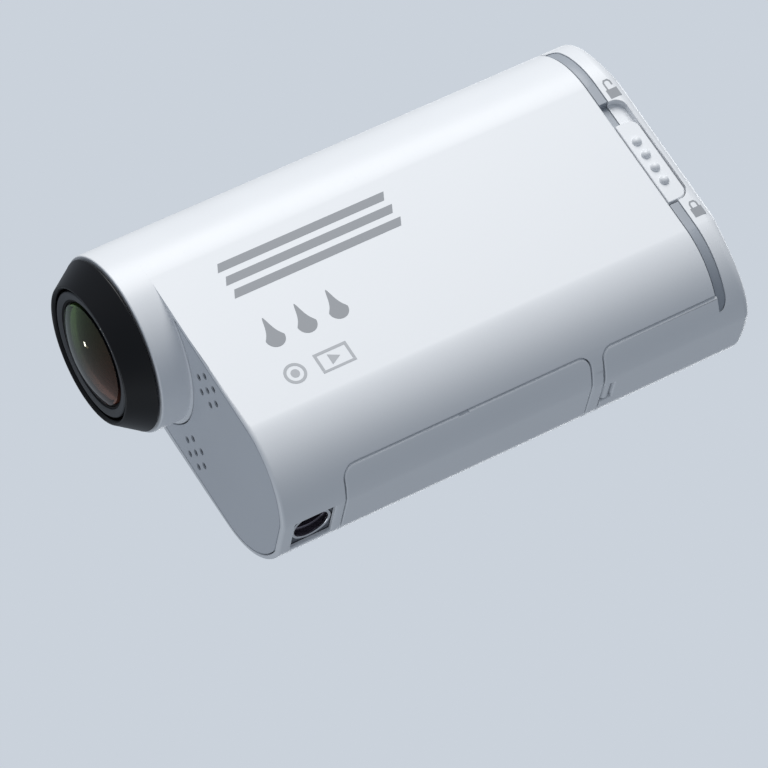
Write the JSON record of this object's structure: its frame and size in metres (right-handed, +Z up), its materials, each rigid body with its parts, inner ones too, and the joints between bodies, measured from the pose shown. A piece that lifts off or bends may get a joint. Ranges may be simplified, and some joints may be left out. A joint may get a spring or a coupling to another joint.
{
  "type": "action camera",
  "caption": "Small bullet-style action camera: a round lens barrel on a slim keeled body with a hinged rear cover, socket cover and tripod socket.",
  "frame": {"origin": "on the surface the camera stands on, under the middle of its length and width", "axes": "+X to the camera's left side, +Y to its back (the lens looks along -Y), +Z up"},
  "size_m": [0.0249, 0.0816, 0.0465],
  "materials": {
    "white_shell": "satin white moulded plastic",
    "panel_grey": "fine matte light grey plastic",
    "band_grey": "mid grey satin plastic",
    "bezel_black": "satin near-black plastic",
    "ring_grey": "dark grey ribbed plastic",
    "coated_glass": "multi-coated optical glass",
    "window_glass": "tinted clear window",
    "socket_steel": "machined and bright",
    "contact_gold": "gold plated",
    "board_green": "green solder mask",
    "seal_rubber": "soft matte rubber",
    "dark_plastic": "dark grey moulded plastic",
    "battery_black": "black battery case",
    "lamp_red": "tinted lens",
    "lamp_amber": "tinted lens",
    "latch_blue": "blue moulded plastic"
  },
  "bodies": {
    "camera_body": {"main_shell": "white_shell", "front_panel": "panel_grey", "lens_bezel": "bezel_black", "lens_barrel": "bezel_black", "microphone_mesh_right": "bezel_black", "microphone_mesh_left": "bezel_black", "mic_jack": "bezel_black", "speaker": "bezel_black", "memory_card": "bezel_black", "lens_retaining_ring": "ring_grey", "front_lens": "coated_glass", "second_lens": "coated_glass", "rear_lens_group": "coated_glass", "display_window": "window_glass", "microphone_right": "socket_steel", "microphone_left": "socket_steel", "sensor_board_screw_low": "socket_steel", "sensor_board_screw_high": "socket_steel", "tripod_socket": "socket_steel", "connector_cover_hinge_pin": "socket_steel", "rear_cover_hinge_pin": "socket_steel", "usb_socket": "socket_steel", "hdmi_socket": "socket_steel", "card_slot": "socket_steel", "chassis_screw_1": "socket_steel", "chassis_screw_2": "socket_steel", "chassis_screw_3": "socket_steel", "chassis_screw_4": "socket_steel", "processor_shield": "socket_steel", "battery_contacts": "contact_gold", "sensor_board": "board_green", "connector_board": "board_green", "main_board": "board_green", "lens_seal": "seal_rubber", "image_sensor": "dark_plastic", "tripod_plate": "dark_plastic", "battery_tray": "dark_plastic", "chassis": "dark_plastic", "display_frame": "dark_plastic", "lcd_panel": "dark_plastic", "battery": "battery_black", "record_lamp": "lamp_red", "charge_lamp": "lamp_amber"},
    "rear_cover": {"rear_cover": "white_shell", "rear_cover_seal": "seal_rubber", "rear_band_right": "band_grey", "rear_band_left": "band_grey"},
    "lock_lever": {"lock_lever": "white_shell"},
    "connector_cover": {"connector_cover": "white_shell", "connector_cover_seal": "seal_rubber"},
    "record_button": {"record_button": "panel_grey"},
    "previous_button": {"previous_button": "panel_grey"},
    "next_button": {"next_button": "panel_grey"},
    "hold_switch": {"hold_switch": "dark_plastic"},
    "battery_latch": {"battery_latch": "latch_blue"}
  },
  "joints": [
    {"name": "rear_cover_hinge", "type": "hinge", "parent": "camera_body", "child": "rear_cover", "pos_m": [0, 0.01675, 0.00085], "axis": [-1, 0, 0], "range_deg": [0, 90]},
    {"name": "lock_lever_slide", "type": "slide", "parent": "rear_cover", "child": "lock_lever", "axis": [0, 0, 1], "range_m": [0, 0.0034]},
    {"name": "connector_cover_hinge", "type": "hinge", "parent": "camera_body", "child": "connector_cover", "pos_m": [-0.00675, 0, 0.00246], "axis": [0, 1, 0], "range_deg": [0, 90]},
    {"name": "record_button_press", "type": "slide", "parent": "camera_body", "child": "record_button", "axis": [0, 0, -1], "range_m": [0, 0.0005], "stiffness_N_per_m": 1000, "springref_m": -0.0005},
    {"name": "previous_button_press", "type": "slide", "parent": "camera_body", "child": "previous_button", "axis": [1, 0, 0], "range_m": [0, 0.0004], "stiffness_N_per_m": 1000, "springref_m": -0.0004},
    {"name": "next_button_press", "type": "slide", "parent": "camera_body", "child": "next_button", "axis": [1, 0, 0], "range_m": [0, 0.0004], "stiffness_N_per_m": 1000, "springref_m": -0.0004},
    {"name": "hold_switch_slide", "type": "slide", "parent": "camera_body", "child": "hold_switch", "axis": [0, 0, 1], "range_m": [0, 0.003]},
    {"name": "battery_latch_slide", "type": "slide", "parent": "camera_body", "child": "battery_latch", "axis": [0, 0, 1], "range_m": [0, 0.001], "stiffness_N_per_m": 300, "springref_m": -0.001}
  ]
}
